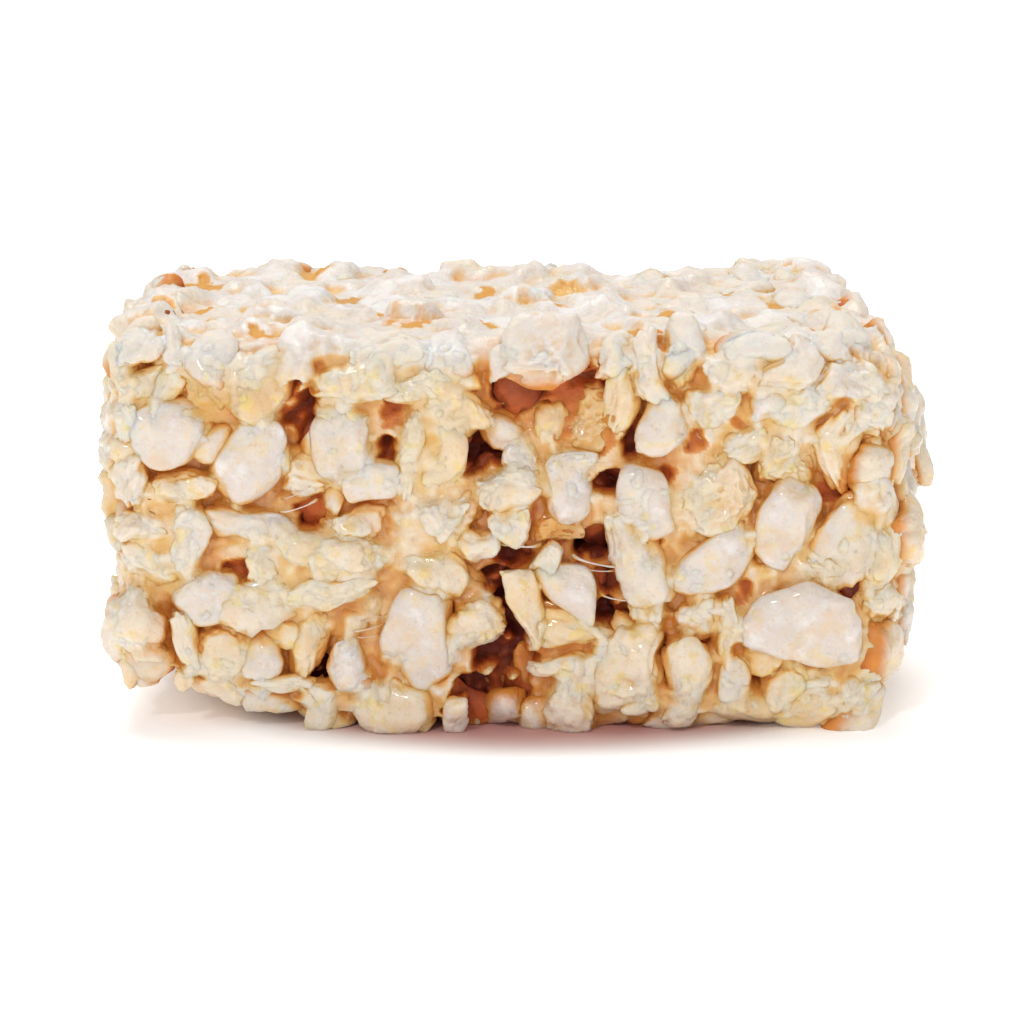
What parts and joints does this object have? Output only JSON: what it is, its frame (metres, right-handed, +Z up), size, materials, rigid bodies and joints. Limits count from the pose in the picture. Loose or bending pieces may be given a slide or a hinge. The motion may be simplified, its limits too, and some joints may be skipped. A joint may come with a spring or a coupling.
{
  "type": "crispy rice marshmallow treat",
  "caption": "Hand-cut block of puffed rice grains held together by melted marshmallow, with a rough open front, a bulging end and a lifted lower corner",
  "frame": {"origin": "centre of the bounding box in X and Y, on the flat underside of the block at Z = 0", "axes": "X runs along the block's length, positive towards the bulging end; -Y faces the broken front that the picture shows; +Z is up"},
  "size_m": [0.0778, 0.0515, 0.0378],
  "materials": {
    "rice_and_marshmallow": "sticky cream puffed rice, satin, golden to brown in the hollows"
  },
  "bodies": {
    "root": {"crispy_treat": "rice_and_marshmallow"}
  },
  "joints": []
}
